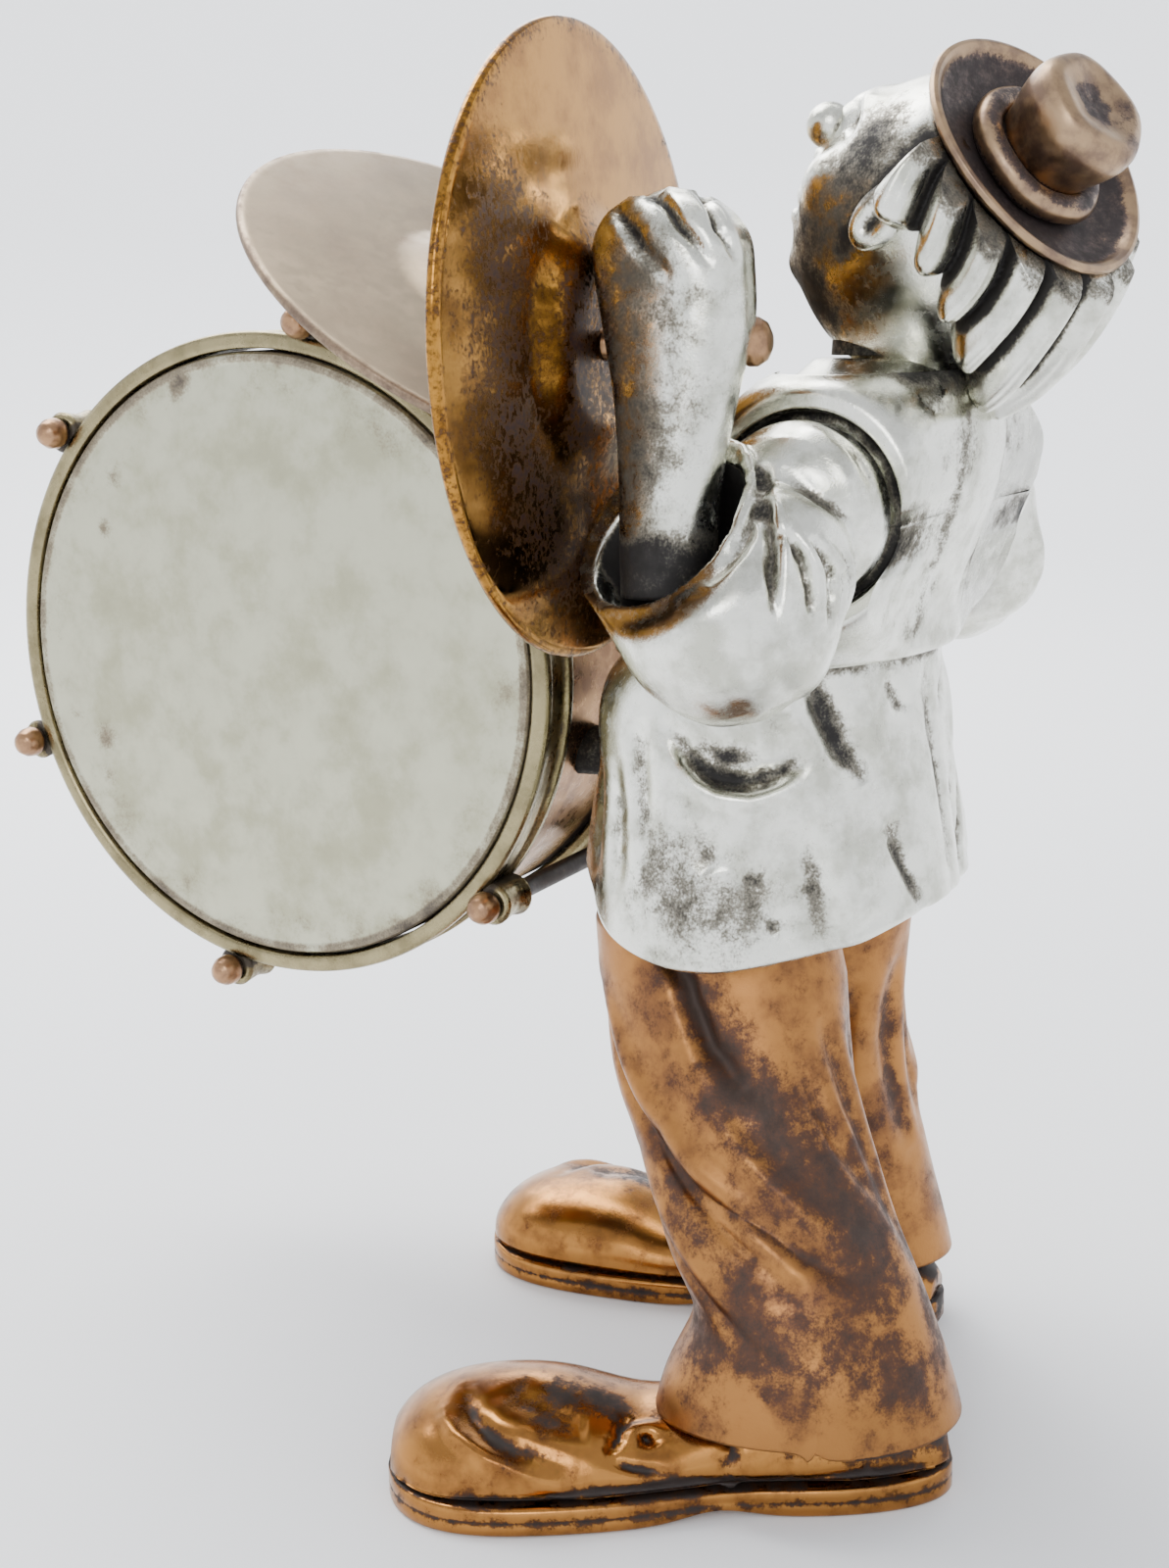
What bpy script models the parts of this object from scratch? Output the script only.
"""A small cast metal clown musician with a bass drum, a hand cymbal and a beater.

The figure faces -Y, its left hand is on +X and its soles stand on z = 0. Every size below is in
millimetres. At the end the meshes are scaled to metres and the figure's middle is set over the
origin.
"""

import math

import bmesh
import bpy
import numpy as np
from mathutils import Matrix, Vector

# Scale and fits
MM = 0.001
SEAM = 0.15  # gap where two castings meet
RUN = 0.05  # radial clearance of a pin that turns

# Shoes
SHOE_LENGTH = 26.0
SHOE_HEEL_HALF = 2.95
SHOE_TOE_HALF = 5.1
SHOE_HEEL_HEIGHT = 2.9
SHOE_TOE_HEIGHT = 3.6
SOLE_THICKNESS = 1.4
SOLE_WELT = 0.35
SOLE_ARCH = 0.45
HEEL_SPREAD = 7.1  # half the distance between the heels
LEFT_HEEL_Y = 11.8
RIGHT_HEEL_Y = 6.3
LEFT_SPLAY = 27.0  # degrees the left toe points outwards
RIGHT_SPLAY = -4.0

# Trousers
HEM_HEIGHT = 3.8
HEM_HALF_LENGTH = 7.0
HEM_HALF_WIDTH = 4.8
KNEE_HALF_LENGTH = 5.2
KNEE_HALF_WIDTH = 4.5
HIP_Y = -1.3
HIP_HALF_LENGTH = 5.9
LEG_GAP = 0.7  # between the two legs at the hip
HIP_ROOM = 0.5  # between a leg and the inside of the smock
HIP_TOP = 27.2
HIP_TUCK = 0.3  # how much slimmer the leg is inside the smock

# Smock, from its hem up to the base of the neck
SMOCK_HEM_Z = 23.8
SMOCK_HEM_HALF = 10.95
SMOCK_HEM_DEPTH = 8.95
SMOCK_WALL = 1.1
HIP_HALF_WIDTH = (SMOCK_HEM_HALF - SMOCK_WALL - HIP_ROOM - LEG_GAP / 2) / 2
HIP_X = LEG_GAP / 2 + HIP_HALF_WIDTH
WAIST_Z = 36.0
WAIST_HALF = 9.4
WAIST_DEPTH = 7.6
CHEST_Z = 45.0
CHEST_HALF = 8.4
CHEST_BACK = 5.6
CHEST_FRONT = 5.0
CHEST_LEAN = 3.6
COLLAR_Z = 50.4
COLLAR_RADIUS = 3.2
COLLAR_LEAN = 5.2

# Vest
VEST_BOTTOM_Z = 37.4
VEST_TOP_Z = 49.9
VEST_THICKNESS = 0.75
VEST_FRONT_GAP = 2.6
ARMHOLE_RADIUS = 4.15
ARMHOLE_RIM = 0.55
ARMHOLE_FACE_X = 9.3

# Shoulders, sleeves and hands
SHOULDER_Y = 5.2
SHOULDER_Z = 44.3
SHOULDER_PIN_RADIUS = 1.1
SLEEVE_HEAD_RADIUS = 3.85
SLEEVE_FACE_X = 8.8
SLEEVE_OUT_X = 14.3
CUFF_RADIUS = 4.25
CUFF_WALL = 0.7
CUFF_DEPTH = 5.6
FIST_LENGTH = 6.3  # across the knuckles
FIST_HEIGHT = 9.6
FIST_THICKNESS = 5.0
WRIST_RADIUS = 2.1

# Head and hat
NECK_RADIUS = 2.6
NECK_Y = 5.4
NECK_TOP_Z = 53.4
HEAD_Y = 8.0
HEAD_Z = 55.9
HEAD_PITCH = 47.0  # degrees the face looks up
HEAD_HALF_WIDTH = 5.7
HEAD_HALF_DEPTH = 6.3
HEAD_HALF_HEIGHT = 7.0
NOSE_RADIUS = 1.0
HAIR_THICKNESS = 1.2
HEAD_TURN = 12.0  # degrees the head turns each way
HAT_Y = 11.1
HAT_Z = 58.4
HAT_LEAN_X = 0.29
HAT_LEAN_Y = 0.79
HAT_LEAN_Z = 0.54
BRIM_RADIUS = 5.65
BRIM_THICKNESS = 0.55
BRIM_RISE = 1.0
BAND_RADIUS = 2.85
BAND_THICKNESS = 1.1
CROWN_RADIUS = 2.35
CROWN_HEIGHT = 3.7
CROWN_DIMPLE = 0.5

# Bass drum
DRUM_RADIUS = 16.4
DRUM_BACK_Y = -8.8  # the drum's nearest point to the smock
DRUM_TOP_Z = 52.1
DRUM_Y = DRUM_BACK_Y - DRUM_RADIUS
DRUM_Z = DRUM_TOP_Z - DRUM_RADIUS
DRUM_DEPTH = 14.2
HOOP_THICKNESS = 0.8
HOOP_WIDTH = 2.8
SHELL_WALL = 0.8
SKIN_THICKNESS = 0.5
LUG_COUNT = 6
LUG_ANGLE = 18.5
LUG_RADIUS = 1.05
ROD_RADIUS = 0.5
ROD_END_RADIUS = 0.85
DRUM_PEG_RADIUS = 1.3
DRUM_PEG_Z = 31.0

# Cymbals
CYMBAL_RADIUS = 13.6
CYMBAL_THICKNESS = 0.5
CYMBAL_BOW = 0.35
BELL_RADIUS = 5.6
BELL_HEIGHT = 0.65
POST_RADIUS = 0.6
POST_SINK = 0.728  # how far the post stands into the drum
POST_TURN = (0.14, 0.57, 0.81)
TOP_CYMBAL_CENTRE = (-2.0, -16.4, 53.45)
HAND_CYMBAL_RADIUS = 13.1
HAND_CYMBAL_CENTRE = (12.0, -3.6, 51.3)
HAND_CYMBAL_AXIS = (-0.078, 0.997, 0.01)
GRIP_ROD_RADIUS = 0.6
GRIP_ROD_LENGTH = 9.1
GRIP_KNOB_RADIUS = 0.95

# Beater in the right hand
BEATER_GRIP = (-13.4, -5.2, 43.4)
BEATER_END = (-12.1, -17.5, 38.6)
BEATER_SHAFT_RADIUS = 0.6
BEATER_BALL_RADIUS = 2.2

SILVER = (0.74, 0.74, 0.71)
COPPER = (0.62, 0.36, 0.20)
BRONZE = (0.42, 0.29, 0.20)
GOLD = (0.68, 0.46, 0.18)
SKIN = (0.52, 0.54, 0.45)


def clear_scene():
    for old in list(bpy.data.objects):
        bpy.data.objects.remove(old, do_unlink=True)


def paint(obj, colour):
    """Give the piece a metal of its own."""
    material = bpy.data.materials.new(obj.name + "_metal")
    material.use_nodes = True
    shader = material.node_tree.nodes["Principled BSDF"]
    shader.inputs["Base Color"].default_value = (*colour, 1.0)
    shader.inputs["Metallic"].default_value = 1.0
    shader.inputs["Roughness"].default_value = 0.35
    obj.data.materials.clear()
    obj.data.materials.append(material)


def from_bmesh(name, bm):
    bm.normal_update()
    bmesh.ops.recalc_face_normals(bm, faces=bm.faces)
    if bm.calc_volume(signed=True) < 0:
        bmesh.ops.reverse_faces(bm, faces=bm.faces)
    mesh = bpy.data.meshes.new(name)
    bm.to_mesh(mesh)
    bm.free()
    obj = bpy.data.objects.new(name, mesh)
    bpy.context.scene.collection.objects.link(obj)
    return obj


def loft(name, rings):
    """Skin a list of equal rings and close both ends with a fan."""
    bm = bmesh.new()
    rows = [[bm.verts.new(p) for p in ring] for ring in rings]
    count = len(rows[0])
    for low, high in zip(rows, rows[1:]):
        for i in range(count):
            j = (i + 1) % count
            bm.faces.new((low[i], low[j], high[j], high[i]))
    for row in (rows[0], rows[-1]):
        middle = bm.verts.new(np.mean([v.co[:] for v in row], axis=0))
        for i in range(count):
            bm.faces.new((row[i], row[(i + 1) % count], middle))
    return from_bmesh(name, bm)


def frame_of(axis):
    """Two directions square to the axis, and the axis itself."""
    w = Vector(axis).normalized()
    side = Vector((0, 0, 1)) if abs(w.z) < 0.9 else Vector((1, 0, 0))
    u = side.cross(w).normalized()
    return u, w.cross(u), w


def lathe(name, profile, origin, axis, segments=48):
    """Turn (radius, height) points about the axis: ends on the axis make a solid, none makes a ring."""
    u, v, w = frame_of(axis)
    origin = Vector(origin)
    bm = bmesh.new()
    rows = []
    for radius, height in profile:
        if radius < 1e-6:
            rows.append([bm.verts.new(origin + w * height)])
            continue
        middle = origin + w * height
        turns = [2 * math.pi * k / segments for k in range(segments)]
        rows.append([bm.verts.new(middle + (u * math.cos(t) + v * math.sin(t)) * radius) for t in turns])
    pairs = list(zip(rows, rows[1:]))
    if len(rows[0]) > 1:
        pairs.append((rows[-1], rows[0]))
    for low, high in pairs:
        for i in range(segments):
            j = (i + 1) % segments
            if len(low) == 1:
                bm.faces.new((low[0], high[j], high[i]))
            elif len(high) == 1:
                bm.faces.new((low[i], low[j], high[0]))
            else:
                bm.faces.new((low[i], low[j], high[j], high[i]))
    return from_bmesh(name, bm)


def rod(name, start, end, radius, segments=20):
    start, end = Vector(start), Vector(end)
    length = (end - start).length
    return lathe(name, [(0, 0), (radius, 0), (radius, length), (0, length)], start, end - start, segments)


def blob(name, centre, radii, axes=None, segments=14):
    """An ellipsoid with its own three directions."""
    bm = bmesh.new()
    bmesh.ops.create_uvsphere(bm, u_segments=segments, v_segments=segments // 2, radius=1.0)
    turn = Matrix(axes).transposed() if axes else Matrix.Identity(3)
    for vert in bm.verts:
        local = Vector(a * b for a, b in zip(vert.co, radii))
        vert.co = Vector(centre) + turn @ local
    return from_bmesh(name, bm)


def combine(target, other, operation):
    """Cut with, or add, another solid and drop it."""
    step = target.modifiers.new(operation.lower(), "BOOLEAN")
    step.operation = operation
    step.solver = "MANIFOLD"
    step.object = other
    bpy.context.view_layer.objects.active = target
    bpy.ops.object.modifier_apply(modifier=step.name)
    bpy.data.objects.remove(other, do_unlink=True)
    return target


def cut(target, other):
    return combine(target, other, "DIFFERENCE")


def add(target, other):
    return combine(target, other, "UNION")


def finish(obj, colour, crease=35.0):
    """Shade the piece smooth, apart from its true corners."""
    paint(obj, colour)
    for face in obj.data.polygons:
        face.use_smooth = True
    obj.data.set_sharp_from_angle(angle=math.radians(crease))
    return obj


def smooth_through(stations, heights):
    """Values that pass smoothly through a few named stations, one column per quantity."""
    stations = np.array(stations, float)
    z, values = stations[:, 0], stations[:, 1:]
    slope = np.gradient(values, z, axis=0)
    out = []
    for h in heights:
        k = int(np.clip(np.searchsorted(z, h) - 1, 0, len(z) - 2))
        span = z[k + 1] - z[k]
        t = (h - z[k]) / span
        a, b = 2 * t**3 - 3 * t**2 + 1, t**3 - 2 * t**2 + t
        c, d = 3 * t**2 - 2 * t**3, t**3 - t**2
        out.append(a * values[k] + b * span * slope[k] + c * values[k + 1] + d * span * slope[k + 1])
    return np.array(out)


# Shoes ------------------------------------------------------------------


def foot_frame(side):
    """Heel point, direction to the toe and direction to the right of it."""
    heel_y = LEFT_HEEL_Y if side > 0 else RIGHT_HEEL_Y
    splay = math.radians(LEFT_SPLAY if side > 0 else RIGHT_SPLAY)
    along = np.array([side * math.sin(splay), -math.cos(splay), 0.0])
    across = np.array([along[1], -along[0], 0.0])
    return np.array([side * HEEL_SPREAD, heel_y, 0.0]), along, across


def rounded_end(share, power):
    return max(1 - abs(2 * share - 1) ** power, 1e-4) ** (1 / 2.2)


def shoe_half(share):
    """Half the width at a share of the length: round heel, narrow waist, bulbous toe."""
    waist = 1 - 0.12 * math.exp(-(((share - 0.38) / 0.14) ** 2))
    ease = share * share * (3 - 2 * share)
    return (SHOE_HEEL_HALF + (SHOE_TOE_HALF - SHOE_HEEL_HALF) * ease) * waist * rounded_end(share, 5.0)


def shoe_height(share):
    ease = share * share * (3 - 2 * share)
    dip = 1 - 0.3 * math.exp(-(((share - 0.54) / 0.11) ** 2))
    return (SHOE_HEEL_HEIGHT + (SHOE_TOE_HEIGHT - SHOE_HEEL_HEIGHT) * ease) * dip * rounded_end(share, 4.0)


def shoe_rings(side, grow, shares, count=18):
    heel, along, across = foot_frame(side)
    rings = []
    for share in shares:
        half = shoe_half(share) + grow
        height = shoe_height(share) + 2 * grow
        base = SOLE_THICKNESS + SEAM - grow
        ring = []
        for k in range(count):
            turn = 2 * math.pi * k / count
            lift = max(math.sin(turn), 0.0) ** 0.75
            point = heel + along * SHOE_LENGTH * share + across * half * math.cos(turn)
            ring.append(point + np.array([0, 0, base + height * lift]))
        rings.append(ring)
    rings[0] = [point - along * 2 * grow for point in rings[0]]
    rings[-1] = [point + along * 2 * grow for point in rings[-1]]
    return rings


def end_shares(first, last, count):
    """Stations along a shoe, closer together at both ends."""
    turn = np.linspace(0, math.pi, count)
    return first + (last - first) * (1 - np.cos(turn)) / 2


def build_shoe(side, word):
    finish(loft(word + "_shoe", shoe_rings(side, 0.0, end_shares(0.012, 0.988, 13))), COPPER)
    heel, along, across = foot_frame(side)
    rings = []
    for share in end_shares(0.004, 0.996, 15):
        half = shoe_half(share) + SOLE_WELT * rounded_end(share, 6.0)
        arch = SOLE_ARCH * math.exp(-(((share - 0.42) / 0.075) ** 2))
        ring = []
        right = [(1, 0.12), (1, 0.88), (0.93, 1)]
        left = [(-x, z) for x, z in reversed(right)]
        for x, z in [(0.93, 0), *right, *left, (-0.93, 0)]:
            point = heel + along * SHOE_LENGTH * share + across * half * x
            ring.append(point + np.array([0, 0, arch + (SOLE_THICKNESS - arch) * z]))
        rings.append(ring)
    finish(loft(word + "_sole", rings), COPPER)


# Trousers ---------------------------------------------------------------


def build_leg(side, word):
    heel, along, across = foot_frame(side)
    hem_centre = heel + along * (HEM_HALF_LENGTH - 0.35)
    hip_centre = np.array([side * HIP_X, HIP_Y, 0.0])
    rings = []
    for level in np.concatenate([np.linspace(0, 0.72, 8), [0.79, 0.86, 1.0]]):
        z = HEM_HEIGHT + (HIP_TOP - HEM_HEIGHT) * level
        ease = level * level * (3 - 2 * level)
        centre = hem_centre * (1 - ease) + hip_centre * ease
        swell = math.sin(math.pi * min(level * 1.25, 1.0))
        length = HEM_HALF_LENGTH * (1 - ease) + HIP_HALF_LENGTH * ease
        width = HEM_HALF_WIDTH * (1 - ease) + HIP_HALF_WIDTH * ease
        length -= (0.5 * (HEM_HALF_LENGTH + HIP_HALF_LENGTH) - KNEE_HALF_LENGTH) * swell
        width -= (0.5 * (HEM_HALF_WIDTH + HIP_HALF_WIDTH) - KNEE_HALF_WIDTH) * swell
        tuck = min(max((z - SMOCK_HEM_Z + 2.4) / 2.2, 0.0), 1.0)
        length *= 1 - HIP_TUCK * tuck
        width *= 1 - 0.5 * HIP_TUCK * tuck
        forward = along * (1 - ease) + np.array([0, -1, 0]) * ease
        forward = forward / np.linalg.norm(forward)
        right = np.array([forward[1], -forward[0], 0.0])
        ring = []
        for k in range(22):
            turn = 2 * math.pi * k / 22
            fold = 1 + 0.025 * math.sin(3 * turn + 5 * level)
            point = centre + (forward * length * math.cos(turn) + right * width * math.sin(turn)) * fold
            ring.append((point[0], point[1], z))
        rings.append(ring)
    leg = loft(word + "_trouser_leg", rings)
    room = loft("room", shoe_rings(side, 2 * SEAM, end_shares(0.012, 0.988, 13)))
    finish(cut(leg, room), COPPER)


# Smock and vest ---------------------------------------------------------


def torso_stations():
    """Height, half width, depth behind, depth in front and how far the middle sits back."""
    hem = (SMOCK_HEM_Z, SMOCK_HEM_HALF, SMOCK_HEM_DEPTH, SMOCK_HEM_DEPTH, 0.0)
    waist = (WAIST_Z, WAIST_HALF, WAIST_DEPTH, WAIST_DEPTH, -0.1)
    chest = (CHEST_Z, CHEST_HALF, CHEST_BACK, CHEST_FRONT, CHEST_LEAN)
    collar = (COLLAR_Z, COLLAR_RADIUS, COLLAR_RADIUS, COLLAR_RADIUS, COLLAR_LEAN)
    skirt = tuple(0.5 * (a + b) for a, b in zip(hem, waist))
    skirt = (skirt[0], skirt[1] + 0.05, *skirt[2:])
    ribs_z = WAIST_Z + 0.36 * (CHEST_Z - WAIST_Z)
    ribs = (ribs_z, 0.5 * (WAIST_HALF + CHEST_HALF) - 0.2, 6.6, 5.5, 0.9)
    shoulder_z = CHEST_Z + 0.5 * (COLLAR_Z - CHEST_Z)
    shoulder = (shoulder_z, 0.9 * CHEST_HALF, 0.9 * CHEST_BACK, 0.92 * CHEST_FRONT, 4.4)
    slope_z = CHEST_Z + 0.82 * (COLLAR_Z - CHEST_Z)
    slope = (slope_z, 0.65 * CHEST_HALF, 0.72 * CHEST_BACK, 0.75 * CHEST_FRONT, 4.9)
    return [hem, skirt, waist, ribs, chest, shoulder, slope, collar]


def torso_rings(heights, grow, count=24):
    rings = []
    for z, (half, back, front, lean) in zip(heights, smooth_through(torso_stations(), heights)):
        ring = []
        for k in range(count):
            turn = 2 * math.pi * k / count
            depth = back if math.sin(turn) > 0 else front
            ring.append(((half + grow) * math.cos(turn), lean + (depth + grow) * math.sin(turn), z))
        rings.append(ring)
    return rings


def build_smock():
    smock = loft("smock", torso_rings(np.linspace(SMOCK_HEM_Z, COLLAR_Z, 13), 0.0))
    hollow_top = HIP_TOP + 2 * SEAM
    levels = np.linspace(SMOCK_HEM_Z - 1, hollow_top, 4)
    rings = torso_rings(np.maximum(levels, SMOCK_HEM_Z), -SMOCK_WALL)
    rings = [[(x, y, z) for x, y, _ in ring] for ring, z in zip(rings, levels)]
    cut(smock, loft("hollow", rings))
    for side in (1, -1):
        inner = (side * 4.6, SHOULDER_Y, SHOULDER_Z)
        outer = (side * 20, SHOULDER_Y, SHOULDER_Z)
        cut(smock, rod("bore", inner, outer, SHOULDER_PIN_RADIUS + SEAM))
    start = (0, -5.2, DRUM_PEG_Z)
    cut(smock, rod("bore", start, (0, -12, DRUM_PEG_Z), DRUM_PEG_RADIUS + SEAM))
    return finish(smock, SILVER)


def build_vest():
    levels = np.linspace(VEST_BOTTOM_Z, VEST_TOP_Z, 8)
    outside = VEST_THICKNESS + SEAM
    vest = loft("vest", torso_rings(levels, outside))
    for side in (1, -1):
        start = (side * 5.0, SHOULDER_Y, SHOULDER_Z)
        rim = ARMHOLE_RADIUS + ARMHOLE_RIM
        reach = ARMHOLE_FACE_X - 5.0
        profile = [(0, 0), (rim, 0), (rim, reach - 0.3), (rim - 0.25, reach), (0, reach)]
        add(vest, lathe("rim", profile, start, (side, 0, 0), 28))
    core_levels = np.concatenate([[VEST_BOTTOM_Z - 1], levels, [VEST_TOP_Z + 0.3, COLLAR_Z]])
    core = torso_rings(core_levels, SEAM)
    lid = [[(x, y, z + 2.0) for x, y, z in core[-1]]]
    cut(vest, loft("core", core + lid))
    for side in (1, -1):
        start = (side * (SLEEVE_FACE_X - 0.6), SHOULDER_Y, SHOULDER_Z)
        cut(vest, rod("armhole", start, (side * 14, SHOULDER_Y, SHOULDER_Z), ARMHOLE_RADIUS, 28))
        outer = (side * 14, SHOULDER_Y, SHOULDER_Z)
        cut(vest, rod("bore", (side * 4.0, SHOULDER_Y, SHOULDER_Z), outer, SHOULDER_PIN_RADIUS + SEAM))
    half = VEST_FRONT_GAP / 2
    bottom = [(-half, -14, 30), (half, -14, 30), (half, 2, 30), (-half, 2, 30)]
    top = [(x * 1.9, y, 56) for x, y, _ in bottom]
    return finish(cut(vest, loft("front", [bottom, top])), SILVER)


def build_shoulder_pins():
    for side, word in ((1, "left"), (-1, "right")):
        start = (side * 5.0, SHOULDER_Y, SHOULDER_Z)
        end = (side * (SLEEVE_FACE_X + 3.2), SHOULDER_Y, SHOULDER_Z)
        finish(rod(word + "_shoulder_pin", start, end, SHOULDER_PIN_RADIUS, 32), SILVER)


# Arms -------------------------------------------------------------------


def tube_rings(points, normals, radii, count=16):
    """Rings across a bent sleeve."""
    rings = []
    for point, normal, radius in zip(points, normals, radii):
        w = Vector(normal).normalized()
        u = (Vector((1, 0, 0)) - w * w.x).normalized()
        v = w.cross(u)
        turns = [2 * math.pi * k / count for k in range(count)]
        rings.append([Vector(point) + (u * math.cos(t) + v * math.sin(t)) * radius for t in turns])
    return rings


def build_sleeve(side, word, elbow, cuff, cuff_axis, wrist, fist):
    """Puffed upper sleeve that turns in the armhole, a bag at the elbow and a wide hollow cuff."""
    face = SLEEVE_FACE_X
    r = SLEEVE_HEAD_RADIUS
    centre = (side * face, SHOULDER_Y, SHOULDER_Z)
    profile = [(0, 0), (r - 0.3, 0), (r, 0.3), (r, 1.3), (r - 0.6, 2.6)]
    profile += [(r - 1.6, 3.6), (r - 2.9, 4.3), (0, 4.5)]
    sleeve = lathe(word + "_sleeve", profile, centre, (side, 0, 0), 28)
    elbow, cuff = Vector(elbow), Vector(cuff)
    top = Vector((side * (face + 3.0), SHOULDER_Y, SHOULDER_Z))
    down = (elbow - top).normalized()
    points = [top, top.lerp(elbow, 0.45), top.lerp(elbow, 0.8), elbow + down * 0.9, elbow + down * 2.0]
    radii = [2.9, 3.5, 3.6, 3.1, 1.7]
    add(sleeve, loft("upper", tube_rings(points, [down] * 5, radii)))
    axis = Vector(cuff_axis).normalized()
    rise = (cuff - elbow).normalized()
    points = [elbow - rise * 2.4, elbow - rise * 1.3, elbow + rise * 0.9, elbow.lerp(cuff, 0.62), cuff]
    normals = [rise, rise, rise, rise.lerp(axis, 0.5), axis]
    radii = [1.6, 3.1, 4.0, CUFF_RADIUS, CUFF_RADIUS]
    add(sleeve, loft("bag", tube_rings(points, normals, radii)))
    inner = CUFF_RADIUS - CUFF_WALL
    points = [cuff - rise * CUFF_DEPTH, cuff - rise * (CUFF_DEPTH - 1.4)]
    points += [cuff - rise * 1.5, cuff + axis * 0.4]
    normals = [rise, rise, axis, axis]
    cut(sleeve, loft("mouth", tube_rings(points, normals, [inner * 0.6, inner * 0.85, inner, inner])))
    bore_end = (side * (face + 3.2 + SEAM), SHOULDER_Y, SHOULDER_Z)
    start = (side * (face - 1.0), SHOULDER_Y, SHOULDER_Z)
    cut(sleeve, rod("bore", start, bore_end, SHOULDER_PIN_RADIUS + RUN, 32))
    room = loft("wrist_room", wrist_rings(wrist, fist, 2 * SEAM))
    return finish(cut(sleeve, room), SILVER)


def wrist_rings(foot, fist, grow):
    """The wrist, from inside the cuff up into the palm."""
    foot, fist = Vector(foot), Vector(fist)
    rise = fist - foot
    shares = (-0.02 if grow else 0.0, 0.35, 0.7, 0.93)
    points = [foot + rise * share for share in shares]
    radii = [WRIST_RADIUS * share + grow for share in (0.95, 1.0, 1.1, 0.8)]
    return tube_rings(points, [rise] * 4, radii, 14)


def build_hand(word, wrist_foot, fist, up, grip, length):
    """A closed fist with four fingers rolled round a grip, on a short wrist."""
    up, grip = Vector(up).normalized(), Vector(grip).normalized()
    out = up.cross(grip).normalized()
    grip = out.cross(up)
    fist = Vector(fist)
    axes = (grip, out, up)
    palm = fist - up * (0.08 * FIST_HEIGHT)
    palm_radii = (0.52 * length, 0.46 * FIST_THICKNESS, 0.46 * FIST_HEIGHT)
    hand = blob(word + "_hand", palm, palm_radii, axes)
    for k in range(4):
        place = fist + up * (0.2 * FIST_HEIGHT) + grip * (k - 1.5) * length * 0.235
        radii = (length * 0.142, FIST_THICKNESS * 0.52, FIST_HEIGHT * 0.27)
        add(hand, blob("finger", place, radii, axes, 10))
    add(hand, loft("wrist", wrist_rings(wrist_foot, fist, 0.0)))
    return hand


# Head and hat -----------------------------------------------------------


def head_axes():
    """Right, back and up of the tilted head."""
    pitch = math.radians(HEAD_PITCH)
    right = Vector((-1, 0, 0))
    up = Vector((0, math.sin(pitch), math.cos(pitch)))
    return right, up.cross(right) * -1, up


def head_solid(name, grow, segments=20):
    right, back, up = head_axes()
    radii = (HEAD_HALF_WIDTH + grow, HEAD_HALF_DEPTH + grow, HEAD_HALF_HEIGHT + grow)
    head = blob(name, (0, HEAD_Y, HEAD_Z), radii, (right, back, up), segments)
    return head


def hat_axis():
    return Vector((HAT_LEAN_X, HAT_LEAN_Y, HAT_LEAN_Z)).normalized()


def clear_above_head(target):
    """Flatten a piece where the hat sits on it."""
    base = Vector((0, HAT_Y, HAT_Z)) - hat_axis() * SEAM
    return cut(target, rod("hat_room", base, base + hat_axis() * 20, 16, 16))


def clear_of_body(target):
    """Leave the head free of the vest and collar at every angle it turns to."""
    levels = np.linspace(VEST_BOTTOM_Z, COLLAR_Z, 8)
    sweep = 0.5 * (CHEST_HALF - CHEST_BACK) * math.sin(math.radians(2 * HEAD_TURN))
    rings = torso_rings(levels, VEST_THICKNESS + 3 * SEAM + sweep)
    rings.append([(x, y, COLLAR_Z + SEAM) for x, y, z in rings[-1]])
    return cut(target, loft("body_room", rings))


def build_head():
    right, back, up = head_axes()
    centre = Vector((0, HEAD_Y, HEAD_Z))
    head = head_solid("head", 0.0)
    jaw = centre - back * 2.6 - up * 3.1
    add(head, blob("jaw", jaw, (3.9, 3.7, 3.6), (right, back, up)))
    brow = centre - back * 4.4 + up * 1.7
    add(head, blob("brow", brow, (4.0, 2.1, 1.7), (right, back, up)))
    nose = centre - back * (HEAD_HALF_DEPTH + 1.2)
    add(head, blob("bridge", nose + back * 1.2 + up * 0.9, (0.9, 1.3, 1.9), (right, back, up)))
    add(head, blob("nose", nose, (NOSE_RADIUS,) * 3, None, 12))
    for side in (1, -1):
        ear = centre + right * side * (HEAD_HALF_WIDTH - 0.1) - up * 0.4 - back * 1.4
        add(head, blob("ear", ear, (0.8, 0.95, 1.7), (right, back, up), 10))
    clear_above_head(head)
    clear_of_body(head)
    foot = (0, NECK_Y, COLLAR_Z - 6)
    cut(head, rod("socket", foot, (0, NECK_Y, NECK_TOP_Z + SEAM), NECK_RADIUS + RUN, 32))
    return finish(head, SILVER)


def build_neck():
    foot = COLLAR_Z + SEAM
    tall = NECK_TOP_Z - foot
    profile = [(0, 0), (NECK_RADIUS, 0), (NECK_RADIUS, tall - 0.3), (NECK_RADIUS - 0.3, tall), (0, tall)]
    return finish(lathe("neck", profile, (0, NECK_Y, foot), (0, 0, 1), 32), SILVER)


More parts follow.
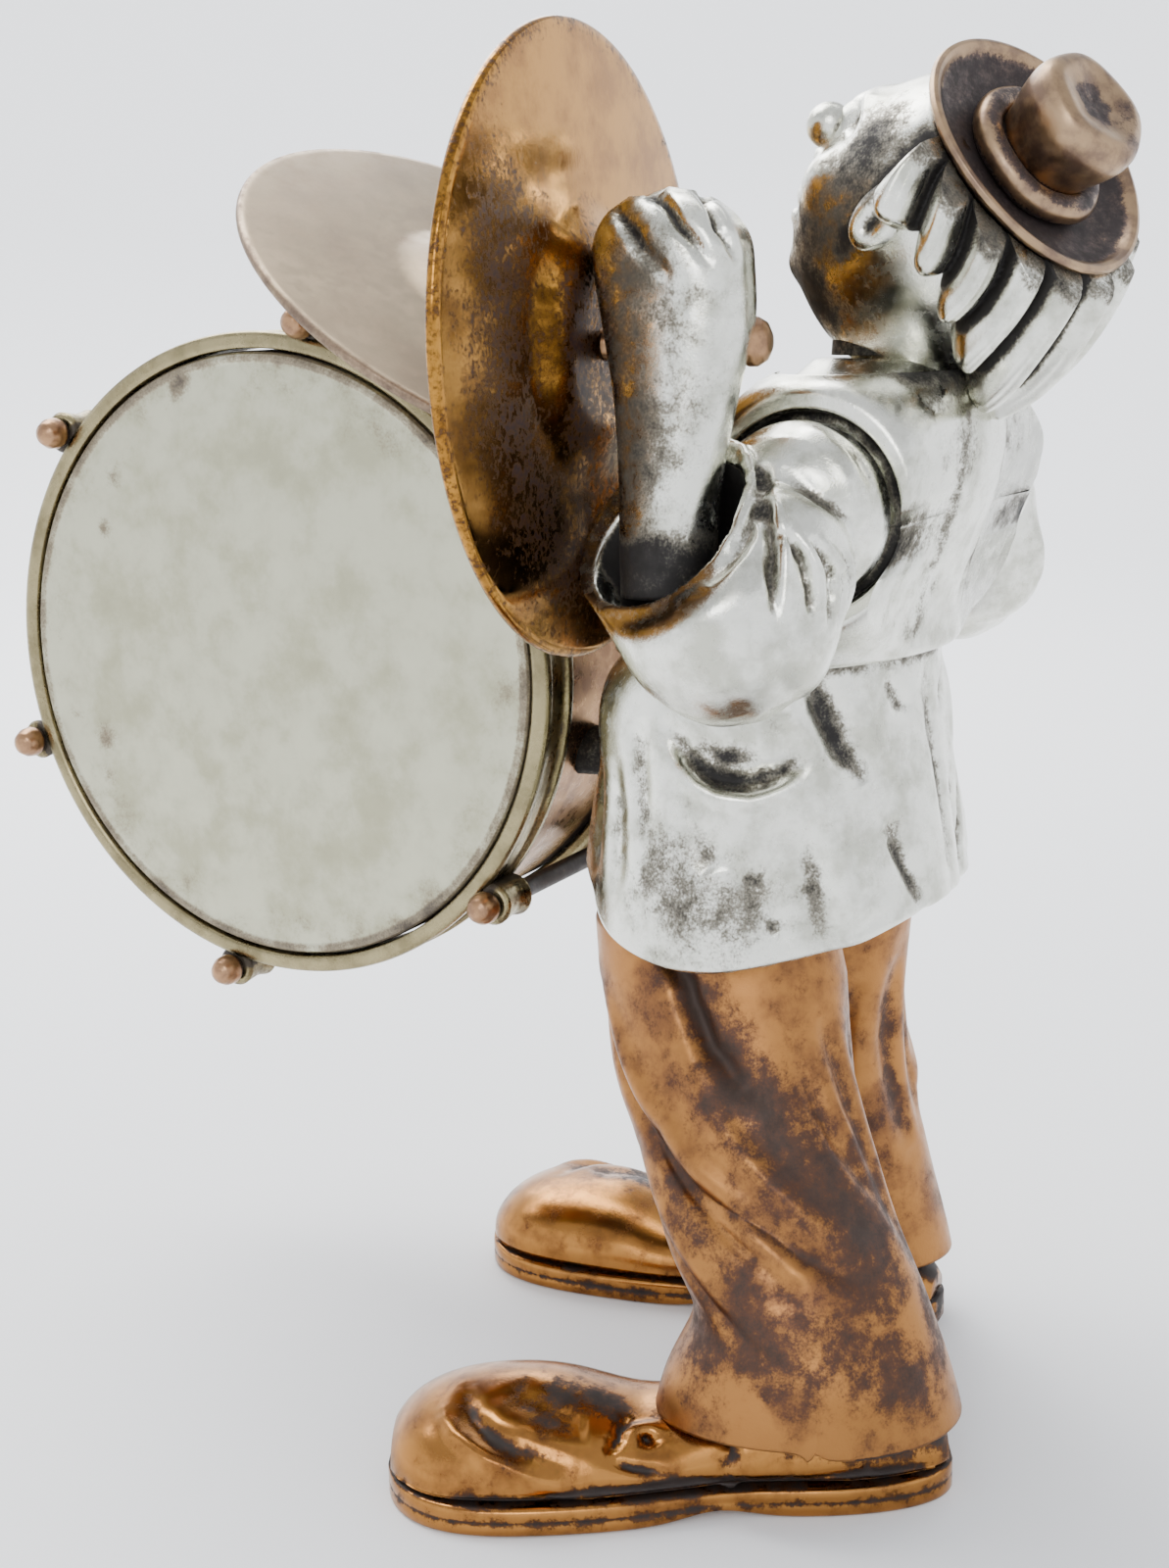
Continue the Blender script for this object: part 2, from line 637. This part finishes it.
def build_hair():
    """A bowl of locks round the back and sides of the head, open towards the face."""
    right, back, up = head_axes()
    centre = Vector((0, HEAD_Y, HEAD_Z))
    count = 30
    turns = [2 * math.pi * k / count for k in range(count)]

    def ring(share, grow, wave):
        points = []
        for turn in turns:
            edge = math.radians(86 + 16 * math.sin(turn) ** 2)
            angle = edge * share
            lock = 1 + wave * math.cos(9 * turn + 2.5 * angle) * math.sin(angle)
            side = right * (math.cos(turn) * math.sin(angle) * (HEAD_HALF_WIDTH + grow) * lock)
            rise = up * (math.sin(turn) * math.sin(angle) * (HEAD_HALF_HEIGHT + grow) * lock)
            points.append(centre + side + rise + back * (math.cos(angle) * (HEAD_HALF_DEPTH + grow)))
        return points

    thick = SEAM + HAIR_THICKNESS
    outer = [ring(share, thick, 0.035) for share in np.linspace(0.06, 0.97, 8)]
    edge = [ring(1.0, SEAM + 0.5 * HAIR_THICKNESS, 0.0)]
    inner = [ring(share, SEAM, 0.0) for share in np.linspace(0.97, 0.06, 5)]
    hair = loft("hair", outer + edge + inner)
    clear_above_head(hair)
    clear_of_body(hair)
    cut(hair, rod("neck_room", (0, NECK_Y, 40), (0, NECK_Y, NECK_TOP_Z), NECK_RADIUS + 2 * SEAM, 32))
    return hair


def build_hat():
    origin, axis = Vector((0, HAT_Y, HAT_Z)), hat_axis()
    t, r = BRIM_THICKNESS, BRIM_RADIUS
    profile = [(0, 0), (0.62 * r, 0), (0.85 * r, 0.3 * BRIM_RISE)]
    profile += [(r - 0.1, BRIM_RISE), (r, BRIM_RISE + 0.3)]
    profile += [(r - 0.25, BRIM_RISE + t), (r - 0.6, BRIM_RISE + 0.3), (0.83 * r, 0.3 * BRIM_RISE + t)]
    profile += [(0.62 * r, t), (0, t)]
    finish(lathe("hat_brim", profile, origin, axis, 36), BRONZE)
    base = t + SEAM
    inner = CROWN_RADIUS + 0.25 + SEAM
    half = BAND_THICKNESS / 2
    turns = [math.pi * k / 6 for k in range(7)]
    bulge = BAND_RADIUS + half - inner
    ring = [(inner + bulge * math.sin(a), base + half - half * math.cos(a)) for a in turns]
    finish(lathe("hat_band", ring, origin, axis, 26), BRONZE)
    c, h = CROWN_RADIUS, CROWN_HEIGHT
    profile = [(0, base), (c, base), (c + 0.1, base + 0.3 * h)]
    profile += [(c + 0.22, base + 0.75 * h), (c, base + h - 0.1)]
    profile += [(c - 0.5, base + h), (c - 1.1, base + h - 0.2), (0, base + h - CROWN_DIMPLE)]
    finish(lathe("hat_crown", profile, origin, axis, 26), BRONZE)


# Drum -------------------------------------------------------------------


def build_drum():
    half = DRUM_DEPTH / 2
    shell_radius = DRUM_RADIUS - HOOP_THICKNESS - SEAM
    shell_half = half - SKIN_THICKNESS - SEAM
    centre = Vector((0, DRUM_Y, DRUM_Z))
    across = (1, 0, 0)
    inner = shell_radius - SHELL_WALL
    profile = [(inner, -shell_half), (shell_radius, -shell_half)]
    profile += [(radius, -height) for radius, height in reversed(profile)]
    shell = lathe("drum_shell", profile, centre, across, 40)
    start = (0, DRUM_Y + 10, DRUM_PEG_Z)
    cut(shell, rod("bore", start, (0, 0, DRUM_PEG_Z), DRUM_PEG_RADIUS + SEAM, 24))
    foot, tip = post_ends()
    cut(shell, rod("bore", foot - (tip - foot) * 0.4, tip, POST_RADIUS + SEAM, 24))
    finish(shell, COPPER)
    for side, word in ((1, "left"), (-1, "right")):
        face = side * (shell_half + SEAM / 2)
        rim = shell_radius - 0.05
        t = SKIN_THICKNESS
        profile = [(0, 0), (rim, 0), (rim, t - 0.12), (rim - 0.4, t), (0.55 * rim, t + 0.1), (0, t + 0.14)]
        middle = centre + Vector((face, 0, 0))
        finish(lathe("drum_head_" + word, profile, middle, (side, 0, 0), 40), SKIN)
        low, high = half - HOOP_WIDTH, half
        bore = shell_radius + SEAM
        r = DRUM_RADIUS
        profile = [(bore, low), (r - 0.2, low), (r, low + 0.25)]
        profile += [(r, high - 0.25), (r - 0.2, high), (bore, high)]
        hoop = lathe("drum_hoop_" + word, profile, centre, (side, 0, 0), 40)
        for k in range(LUG_COUNT):
            at = lug_place(k)
            hole = ROD_RADIUS + 0.1
            ear = [(hole, low + 0.15), (LUG_RADIUS, low + 0.15)]
            ear += [(LUG_RADIUS, high - 0.15), (hole, high - 0.15)]
            add(hoop, lathe("lug", ear, at, (side, 0, 0), 10))
        finish(hoop, SILVER)
    for k in range(LUG_COUNT):
        at = lug_place(k)
        reach = half - 0.15 + SEAM
        e = ROD_END_RADIUS
        ends = [(0, -reach - 1.3), (0.6 * e, -reach - 1.15), (e, -reach - 0.6), (e, -reach)]
        shaft = [(ROD_RADIUS, -reach), (ROD_RADIUS, reach)]
        other = [(radius, -height) for radius, height in reversed(ends)]
        finish(lathe(f"tension_rod_{k + 1}", ends + shaft + other, at, across, 10), COPPER)
    peg_start = (0, -5.2 - SEAM, DRUM_PEG_Z)
    peg_end = (0, DRUM_Y + DRUM_RADIUS - 2.4, DRUM_PEG_Z)
    finish(rod("drum_peg", peg_start, peg_end, DRUM_PEG_RADIUS, 24), SILVER)


def lug_place(k):
    turn = math.radians(LUG_ANGLE + 360.0 / LUG_COUNT * k)
    radius = DRUM_RADIUS + ROD_RADIUS + 0.2
    return Vector((0, DRUM_Y + radius * math.cos(turn), DRUM_Z + radius * math.sin(turn)))


# Cymbals ----------------------------------------------------------------


def cymbal_profile(radius, bore):
    """A bowed disc with a raised bell and a rolled edge; the bell rises along the axis."""
    t, bow, bell = CYMBAL_THICKNESS, CYMBAL_BOW, BELL_HEIGHT
    top = [(bore, bow + bell), (0.6 * BELL_RADIUS, bow + 0.8 * bell), (BELL_RADIUS, bow)]
    top += [(0.5 * (BELL_RADIUS + radius), 0.6 * bow), (radius - 0.15, 0)]
    under = [(r, h - t) for r, h in reversed(top)]
    edge = [(radius, -0.5 * t)]
    return top + edge + under


def post_axis():
    return Vector(POST_TURN).normalized()


def post_ends():
    """The post runs from inside the drum shell to just above the cymbal."""
    centre, axis = Vector(TOP_CYMBAL_CENTRE), post_axis()
    rise = CYMBAL_BOW + BELL_HEIGHT
    offset = Vector((0, centre.y - DRUM_Y, centre.z - DRUM_Z))
    flat = Vector((0, axis.y, axis.z))
    skin = DRUM_RADIUS - HOOP_THICKNESS - SEAM
    half = offset.dot(flat)
    root = math.sqrt(half**2 - flat.length_squared * (offset.length_squared - skin**2))
    reach = (half - root) / flat.length_squared
    return centre - axis * (reach + POST_SINK), centre + axis * (rise + 1.3)


def build_top_cymbal():
    axis, centre = post_axis(), Vector(TOP_CYMBAL_CENTRE)
    profile = cymbal_profile(CYMBAL_RADIUS, POST_RADIUS + RUN)
    finish(lathe("drum_cymbal", profile, centre, axis, 36), COPPER)
    foot, tip = post_ends()
    length = (tip - foot).length
    seat = length - 1.3 - CYMBAL_THICKNESS - SEAM
    r = POST_RADIUS
    collar = r + 0.7
    profile = [(0, 0), (r, 0), (r, seat - 1.0), (collar, seat - 0.8), (collar, seat)]
    profile += [(r, seat), (r, length), (0, length)]
    finish(lathe("cymbal_post", profile, foot, axis, 16), COPPER)
    top = centre + axis * (CYMBAL_BOW + BELL_HEIGHT + SEAM)
    bore = POST_RADIUS + 0.02
    nut = [(bore, 0), (1.3, 0), (1.3, 0.5), (0.95, 0.95), (bore, 1.1)]
    finish(lathe("cymbal_nut", nut, top, axis, 16), COPPER)


def build_hand_cymbal():
    axis, centre = Vector(HAND_CYMBAL_AXIS).normalized(), Vector(HAND_CYMBAL_CENTRE)
    profile = cymbal_profile(HAND_CYMBAL_RADIUS, GRIP_ROD_RADIUS + RUN)
    finish(lathe("hand_cymbal", profile, centre, axis, 36), GOLD)
    front = CYMBAL_BOW + BELL_HEIGHT - CYMBAL_THICKNESS - SEAM
    r, length, knob = GRIP_ROD_RADIUS, GRIP_ROD_LENGTH, GRIP_KNOB_RADIUS
    profile = [(0, front - 0.9), (0.7, front - 0.8), (1.2, front - 0.35), (1.2, front)]
    profile += [(r, front), (r, length - 1.1)]
    profile += [(knob, length - 1.1), (knob, length - 0.6), (0.7 * knob, length - 0.12), (0, length)]
    finish(lathe("hand_cymbal_rod", profile, centre, axis, 16), COPPER)


# Whole figure -----------------------------------------------------------


def build_arms():
    elbow = (SLEEVE_OUT_X, 4.6, 39.0)
    cuff = (13.6, 0.9, 44.2)
    axis, centre = Vector(HAND_CYMBAL_AXIS).normalized(), Vector(HAND_CYMBAL_CENTRE)
    fist = centre + axis * 4.5 + Vector((0.4, 0, 1.6))
    wrist = (14.0, 1.2, 41.6)
    build_sleeve(1, "left", elbow, cuff, (0.5, -0.35, 0.8), wrist, fist)
    hand = build_hand("left", wrist, fist, (0, 0, 1), axis, FIST_LENGTH)
    cut(hand, rod("bore", centre, centre + axis * 14, GRIP_ROD_RADIUS + SEAM, 20))
    finish(hand, SILVER)
    grip, end = Vector(BEATER_GRIP), Vector(BEATER_END)
    wrist = (-13.7, 1.2, 40.9)
    elbow, cuff = (-SLEEVE_OUT_X, 4.6, 38.6), (-13.6, -0.2, 42.0)
    build_sleeve(-1, "right", elbow, cuff, (-0.2, -0.8, 0.5), wrist, grip)
    along = (end - grip).normalized()
    hand = build_hand("right", wrist, grip, (0, -0.55, 0.83), (1, 0, 0), FIST_LENGTH * 0.9)
    cut(hand, rod("bore", grip - along * 9, grip + along * 9, BEATER_SHAFT_RADIUS + SEAM, 20))
    finish(hand, SILVER)
    shaft = grip - along * 3.6
    finish(rod("beater_shaft", shaft, end - along * 1.2, BEATER_SHAFT_RADIUS, 20), COPPER)
    ball = blob("beater_ball", end, (BEATER_BALL_RADIUS,) * 3, None, 16)
    cut(ball, rod("bore", end - along * 6, end - along * (1.2 - SEAM), BEATER_SHAFT_RADIUS + SEAM, 20))
    finish(ball, SILVER)


def set_on_base():
    """Put the middle of the whole figure over the origin, in metres, and return that shift."""
    corners = [Vector(corner) for obj in bpy.data.objects for corner in obj.bound_box]
    low = [min(corner[i] for corner in corners) for i in range(3)]
    high = [max(corner[i] for corner in corners) for i in range(3)]
    shift = Vector((-(low[0] + high[0]) / 2, -(low[1] + high[1]) / 2, -low[2]))
    for obj in bpy.data.objects:
        obj.data.transform(Matrix.Scale(MM, 4) @ Matrix.Translation(shift))
    return shift


def hang(joint, place, shift, names, parent=None):
    """Hang pieces from an empty that stands on their joint's axis."""
    here = (Vector(place) + shift) * MM
    empty = bpy.data.objects.new(joint, None)
    empty.empty_display_size = 0.004
    bpy.context.scene.collection.objects.link(empty)
    empty.location = here
    if parent:
        empty.parent = parent
        empty.location = here - parent.location
    for name in names:
        obj = bpy.data.objects[name]
        obj.parent = empty
        obj.matrix_parent_inverse = Matrix.Translation(-here)
    return empty


def hang_moving_pieces(shift):
    left = (SLEEVE_FACE_X, SHOULDER_Y, SHOULDER_Z)
    right = (-SLEEVE_FACE_X, SHOULDER_Y, SHOULDER_Z)
    arm = hang("left_shoulder", left, shift, ["left_sleeve", "left_hand", "hand_cymbal_rod"])
    hang("hand_cymbal_spin", HAND_CYMBAL_CENTRE, shift, ["hand_cymbal"], arm)
    beating = ["right_sleeve", "right_hand", "beater_shaft", "beater_ball"]
    hang("right_shoulder", right, shift, beating)
    turning = ["head", "hair", "hat_brim", "hat_band", "hat_crown"]
    hang("head_turn", (0, NECK_Y, NECK_TOP_Z), shift, turning)
    hang("drum_cymbal_spin", TOP_CYMBAL_CENTRE, shift, ["drum_cymbal", "cymbal_nut"])


def main():
    clear_scene()
    for side, word in ((1, "left"), (-1, "right")):
        build_shoe(side, word)
        build_leg(side, word)
    build_smock()
    build_vest()
    build_shoulder_pins()
    build_arms()
    build_neck()
    build_head()
    finish(build_hair(), SILVER)
    build_hat()
    build_drum()
    build_top_cymbal()
    build_hand_cymbal()
    hang_moving_pieces(set_on_base())


main()
